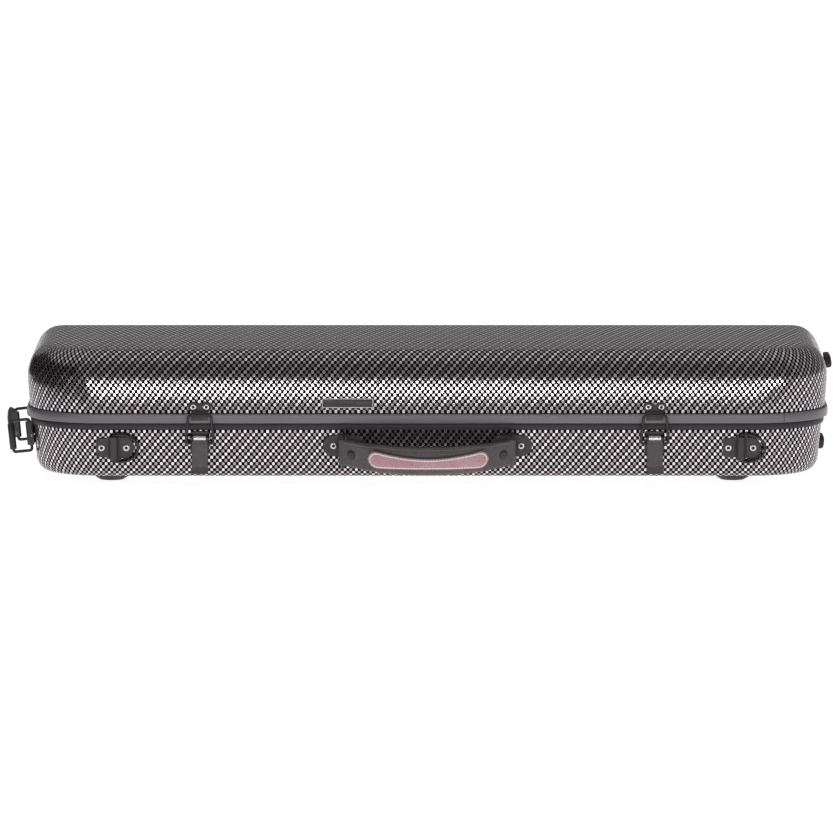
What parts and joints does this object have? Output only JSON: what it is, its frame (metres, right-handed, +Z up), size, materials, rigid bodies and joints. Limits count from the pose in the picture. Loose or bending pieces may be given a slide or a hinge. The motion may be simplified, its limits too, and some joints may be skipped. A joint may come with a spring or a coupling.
{
  "type": "violin case",
  "caption": "Oblong hard violin case lying on rubber feet, with hinged lid, draw latches, carrying handle, end handle, strap rings and a padded interior.",
  "frame": {"origin": "centre of the bounding box at the level the rubber feet stand on", "axes": "+X along the length towards the instrument's lower bout, -Y towards the carrying handle and latches, +Z up with the case lying on its feet"},
  "size_m": [0.81, 0.321, 0.1328],
  "materials": {
    "woven_laminate": "glossy black and silver woven-look laminate",
    "satin_seam": "satin purple-grey coating",
    "black_metal": "semi-gloss black",
    "lever_metal": "satin dark grey",
    "silver_metal": "bright plated",
    "grey_leather": "grey leather with stitched edges",
    "mauve_leather": "mauve leather, stitched round its edge, blank",
    "black_rubber": "matt black",
    "charcoal_plush": "charcoal plush over foam",
    "name_plate": "plain black, blank"
  },
  "bodies": {
    "base": {"base_shell": "woven_laminate", "base_rim": "satin_seam", "rim_gasket": "black_rubber", "base_insert": "charcoal_plush", "neck_insert": "charcoal_plush", "neck_strap": "grey_leather", "strap_bracket_left": "black_metal", "strap_rivets_left": "silver_metal", "strap_bracket_right": "black_metal", "strap_rivets_right": "silver_metal", "handle_bracket_left": "black_metal", "handle_rivets_left": "silver_metal", "handle_bracket_right": "black_metal", "handle_rivets_right": "silver_metal", "end_bracket_front": "black_metal", "end_rivets_front": "silver_metal", "end_bracket_rear": "black_metal", "end_rivets_rear": "silver_metal", "latch_plate_left": "black_metal", "latch_pin_left": "silver_metal", "latch_plate_right": "black_metal", "latch_pin_right": "silver_metal", "hinge_base_leaf_left": "black_metal", "hinge_pin_left": "silver_metal", "hinge_base_leaf_right": "black_metal", "hinge_pin_right": "silver_metal", "bottom_foot_front_left": "black_rubber", "bottom_foot_front_right": "black_rubber", "bottom_foot_rear_left": "black_rubber", "bottom_foot_rear_right": "black_rubber", "base_end_bumper": "black_rubber"},
    "lid": {"lid_shell": "woven_laminate", "lid_valance": "satin_seam", "lid_lining": "charcoal_plush", "nameplate": "name_plate", "lid_end_bumper": "black_rubber", "keeper_left": "black_metal", "keeper_rivets_left": "silver_metal", "hinge_lid_leaf_left": "black_metal", "keeper_right": "black_metal", "keeper_rivets_right": "silver_metal", "hinge_lid_leaf_right": "black_metal"},
    "accessory_lid": {"accessory_lid": "charcoal_plush"},
    "bow_clip_front": {"bow_clip_front": "black_metal"},
    "bow_clip_rear": {"bow_clip_rear": "black_metal"},
    "latch_lever_left": {"latch_lever_left": "lever_metal"},
    "latch_lever_right": {"latch_lever_right": "lever_metal"},
    "latch_bail_left": {"latch_bail_left": "black_metal"},
    "latch_bail_right": {"latch_bail_right": "black_metal"},
    "d_ring_left": {"d_ring_left": "black_metal"},
    "d_ring_right": {"d_ring_right": "black_metal"},
    "handle_ring_left": {"handle_ring_left": "black_metal"},
    "handle_ring_right": {"handle_ring_right": "black_metal"},
    "handle": {"handle_grip": "grey_leather", "handle_patch": "mauve_leather", "handle_stud_left": "black_metal", "handle_stud_right": "black_metal"},
    "end_ring_front": {"end_ring_front": "black_metal"},
    "end_ring_rear": {"end_ring_rear": "black_metal"},
    "end_handle": {"end_handle": "grey_leather"}
  },
  "joints": [
    {"name": "lid_hinge", "type": "hinge", "parent": "base", "child": "lid", "pos_m": [0.00782, 0.15763, 0.06115], "axis": [-1, 0, 0], "range_deg": [0, 100]},
    {"name": "accessory_lid_hinge", "type": "hinge", "parent": "base", "child": "accessory_lid", "pos_m": [0.00782, 0.12913, 0.0623], "axis": [-1, 0, 0], "range_deg": [0, 85]},
    {"name": "bow_clip_front_turn", "type": "hinge", "parent": "lid", "child": "bow_clip_front", "pos_m": [-0.22218, -0.01337, 0.1203], "axis": [0, 0, 1], "range_deg": [0, 90]},
    {"name": "bow_clip_rear_turn", "type": "hinge", "parent": "lid", "child": "bow_clip_rear", "pos_m": [-0.22218, 0.06263, 0.1203], "axis": [0, 0, 1], "range_deg": [0, 90]},
    {"name": "latch_lever_left_pivot", "type": "hinge", "parent": "base", "child": "latch_lever_left", "pos_m": [-0.21268, -0.10508, 0.0472], "axis": [-1, 0, 0], "range_deg": [0, 120]},
    {"name": "latch_bail_left_pivot", "type": "hinge", "parent": "latch_lever_left", "child": "latch_bail_left", "pos_m": [-0.21268, -0.10486, 0.042], "axis": [-1, 0, 0], "range_deg": [-135, 0]},
    {"name": "latch_lever_right_pivot", "type": "hinge", "parent": "base", "child": "latch_lever_right", "pos_m": [0.22832, -0.10508, 0.0472], "axis": [-1, 0, 0], "range_deg": [0, 120]},
    {"name": "latch_bail_right_pivot", "type": "hinge", "parent": "latch_lever_right", "child": "latch_bail_right", "pos_m": [0.22832, -0.10486, 0.042], "axis": [-1, 0, 0], "range_deg": [-135, 0]},
    {"name": "d_ring_left_swing", "type": "hinge", "parent": "base", "child": "d_ring_left", "pos_m": [-0.29618, -0.10142, 0.03676], "axis": [0, 0.0995, -0.995], "range_deg": [0, 175]},
    {"name": "d_ring_right_swing", "type": "hinge", "parent": "base", "child": "d_ring_right", "pos_m": [0.31182, -0.10142, 0.03676], "axis": [0, 0.0995, -0.995], "range_deg": [0, 175]},
    {"name": "handle_ring_left_swing", "type": "hinge", "parent": "base", "child": "handle_ring_left", "pos_m": [-0.07368, -0.10145, 0.03707], "axis": [0, -0.0995, 0.995], "range_deg": [-60, 60]},
    {"name": "handle_swing", "type": "hinge", "parent": "handle_ring_left", "child": "handle", "pos_m": [-0.07368, -0.11946, 0.03527], "axis": [0, -0.0995, 0.995], "range_deg": [-65, 65]},
    {"name": "handle_ring_right_swing", "type": "hinge", "parent": "base", "child": "handle_ring_right", "pos_m": [0.08932, -0.10145, 0.03707], "axis": [0, -0.0995, 0.995], "range_deg": [-65, 65]},
    {"name": "end_ring_front_swing", "type": "hinge", "parent": "base", "child": "end_ring_front", "pos_m": [-0.3806, -0.02337, 0.04047], "axis": [-0.0995, 0, 0.995], "range_deg": [-60, 60]},
    {"name": "end_handle_swing", "type": "hinge", "parent": "end_ring_front", "child": "end_handle", "pos_m": [-0.39861, -0.02337, 0.03867], "axis": [-0.0995, 0, 0.995], "range_deg": [-65, 65]},
    {"name": "end_ring_rear_swing", "type": "hinge", "parent": "base", "child": "end_ring_rear", "pos_m": [-0.3806, 0.07263, 0.04047], "axis": [-0.0995, 0, 0.995], "range_deg": [-65, 65]}
  ],
  "couplings": [
    {"joint": "latch_bail_left_pivot", "follows": "latch_lever_left_pivot", "ratio": -1.0833},
    {"joint": "latch_bail_right_pivot", "follows": "latch_lever_right_pivot", "ratio": -1.0833},
    {"joint": "handle_swing", "follows": "handle_ring_left_swing", "ratio": -1},
    {"joint": "handle_ring_right_swing", "follows": "handle_ring_left_swing", "ratio": 1},
    {"joint": "end_handle_swing", "follows": "end_ring_front_swing", "ratio": -1},
    {"joint": "end_ring_rear_swing", "follows": "end_ring_front_swing", "ratio": 1}
  ]
}
